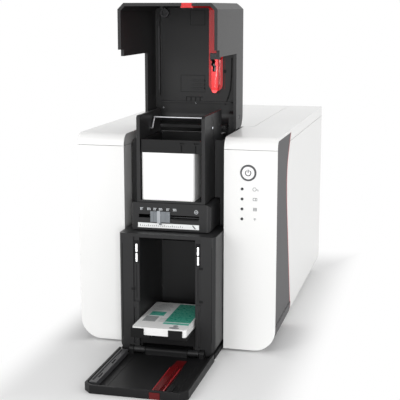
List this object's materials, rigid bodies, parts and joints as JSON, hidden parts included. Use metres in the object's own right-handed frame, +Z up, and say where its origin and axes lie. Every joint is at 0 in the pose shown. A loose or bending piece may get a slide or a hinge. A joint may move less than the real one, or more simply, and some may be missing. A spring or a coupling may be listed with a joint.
{
  "type": "id card printer",
  "caption": "Desktop card printer with a hinged feeder lid, a drop-down hopper door with a card tray, and a rear ribbon cover over its print engine.",
  "frame": {"origin": "on the desk below the middle of the printer as it stands with its door open", "axes": "+Z up, +Y from the front to the back, +X to the right seen from the front"},
  "size_m": [0.205, 0.4848, 0.346],
  "materials": {
    "white_shell": "moulded white ABS, satin",
    "black_abs": "moulded black ABS, fine texture",
    "grey_abs": "moulded dark grey ABS",
    "light_grey": "moulded light grey ABS",
    "clear_red": "clear red polycarbonate",
    "accent_red": "red trim, satin",
    "steel": "bright steel",
    "rubber": "black rubber",
    "blue_rubber": "tacky blue silicone",
    "card_stock": "white PVC cards",
    "ribbon": "dye ribbon film",
    "circuit": "green circuit board",
    "clear_light": "clear light guide"
  },
  "bodies": {
    "chassis": {"base_plate": "grey_abs", "left_side_shell": "white_shell", "right_side_shell": "white_shell", "left_top_cover": "white_shell", "right_top_cover": "white_shell", "rear_panel": "white_shell", "left_side_band": "grey_abs", "right_side_band": "grey_abs", "accent_lines": "accent_red", "rubber_feet": "rubber", "bay_liner": "black_abs", "feeder_tower": "black_abs", "tower_wire": "steel", "blank_cards": "card_stock", "gauge_housing": "black_abs", "gauge_label": "card_stock", "hopper_box": "black_abs", "hopper_guides": "grey_abs", "hopper_light_guides": "clear_light", "lid_hinge_pins": "steel", "door_hinge_pin": "steel", "button_bezel": "grey_abs", "front_board": "circuit", "status_light_pipes": "clear_light", "cover_hinge_rod": "steel", "cover_hinge_brackets": "grey_abs", "left_side_plate": "steel", "right_side_plate": "steel", "ribbon_film": "ribbon", "drive_motor": "grey_abs", "drive_belt": "rubber", "main_board": "circuit", "board_standoffs": "steel", "interface_sockets": "grey_abs", "cooling_fan": "black_abs", "panel_screws": "steel"},
    "lid": {"lid": "black_abs", "lid_red_window": "clear_red", "lid_latch": "grey_abs"},
    "door": {"door": "black_abs", "door_red_window": "clear_red", "door_rail": "grey_abs"},
    "card_tray": {"card_tray": "black_abs", "printed_cards": "card_stock"},
    "gauge_slider": {"gauge_slider": "light_grey"},
    "card_weight": {"card_weight": "black_abs"},
    "power_button": {"power_button": "light_grey"},
    "ribbon_cover": {"ribbon_cover": "white_shell", "print_head": "steel", "head_bracket": "grey_abs"},
    "platen_roller": {"platen_roller": "rubber"},
    "feed_roller": {"feed_roller": "rubber"},
    "cleaning_roller": {"cleaning_roller": "blue_rubber"},
    "transport_roller": {"transport_roller": "rubber"},
    "rear_roller": {"rear_roller": "rubber"},
    "eject_roller": {"eject_roller": "rubber"},
    "motor_pulley": {"motor_pulley": "steel"},
    "supply_spool": {"supply_spool": "ribbon"},
    "take_up_spool": {"take_up_spool": "ribbon"},
    "fan_rotor": {"fan_rotor": "grey_abs"}
  },
  "joints": [
    {"name": "lid_hinge", "type": "hinge", "parent": "chassis", "child": "lid", "pos_m": [0, -0.0221, 0.2295], "axis": [1, 0, 0], "range_deg": [0, 90]},
    {"name": "door_hinge", "type": "hinge", "parent": "chassis", "child": "door", "pos_m": [0, -0.1339, 0.0065], "axis": [-1, 0, 0], "range_deg": [0, 90]},
    {"name": "tray_slide", "type": "slide", "parent": "chassis", "child": "card_tray", "axis": [0, 1, 0], "range_m": [0, 0.0257]},
    {"name": "weight_lift", "type": "slide", "parent": "chassis", "child": "card_weight", "axis": [0, 0, 1], "range_m": [0, 0.005]},
    {"name": "gauge_slide", "type": "slide", "parent": "chassis", "child": "gauge_slider", "axis": [1, 0, 0], "range_m": [-0.016, 0.029]},
    {"name": "button_press", "type": "slide", "parent": "chassis", "child": "power_button", "axis": [0, 1, 0], "range_m": [0, 0.0015], "stiffness_N_per_m": 400, "springref_m": -0.001},
    {"name": "ribbon_cover_hinge", "type": "hinge", "parent": "chassis", "child": "ribbon_cover", "pos_m": [0, 0.2309, 0.208], "axis": [-1, 0, 0], "range_deg": [0, 65]},
    {"name": "platen_spin", "type": "hinge", "parent": "chassis", "child": "platen_roller", "pos_m": [0, 0.0534, 0.1467], "axis": [1, 0, 0], "continuous": true},
    {"name": "feed_spin", "type": "hinge", "parent": "chassis", "child": "feed_roller", "pos_m": [0, -0.0636, 0.1477], "axis": [1, 0, 0], "continuous": true},
    {"name": "cleaning_spin", "type": "hinge", "parent": "chassis", "child": "cleaning_roller", "pos_m": [0, -0.0086, 0.1477], "axis": [1, 0, 0], "continuous": true},
    {"name": "transport_spin", "type": "hinge", "parent": "chassis", "child": "transport_roller", "pos_m": [0, 0.0214, 0.1477], "axis": [1, 0, 0], "continuous": true},
    {"name": "rear_spin", "type": "hinge", "parent": "chassis", "child": "rear_roller", "pos_m": [0, 0.0974, 0.1477], "axis": [1, 0, 0], "continuous": true},
    {"name": "eject_spin", "type": "hinge", "parent": "chassis", "child": "eject_roller", "pos_m": [0, -0.0366, 0.0947], "axis": [1, 0, 0], "continuous": true},
    {"name": "motor_spin", "type": "hinge", "parent": "chassis", "child": "motor_pulley", "pos_m": [0, 0.1374, 0.08], "axis": [1, 0, 0], "continuous": true},
    {"name": "supply_spin", "type": "hinge", "parent": "chassis", "child": "supply_spool", "pos_m": [0, 0.0974, 0.189], "axis": [1, 0, 0], "continuous": true},
    {"name": "take_up_spin", "type": "hinge", "parent": "chassis", "child": "take_up_spool", "pos_m": [0, 0.0134, 0.189], "axis": [1, 0, 0], "continuous": true},
    {"name": "fan_spin", "type": "hinge", "parent": "chassis", "child": "fan_rotor", "pos_m": [-0.022, 0.2344, 0.12], "axis": [0, 1, 0], "continuous": true}
  ],
  "couplings": [
    {"joint": "tray_slide", "follows": "door_hinge", "m_per_rad": 0.01636},
    {"joint": "feed_spin", "follows": "platen_spin", "ratio": 1},
    {"joint": "cleaning_spin", "follows": "platen_spin", "ratio": 1},
    {"joint": "transport_spin", "follows": "platen_spin", "ratio": 1},
    {"joint": "rear_spin", "follows": "platen_spin", "ratio": 1},
    {"joint": "eject_spin", "follows": "platen_spin", "ratio": 1},
    {"joint": "motor_spin", "follows": "platen_spin", "ratio": 1},
    {"joint": "take_up_spin", "follows": "supply_spin", "ratio": 1.4167}
  ]
}
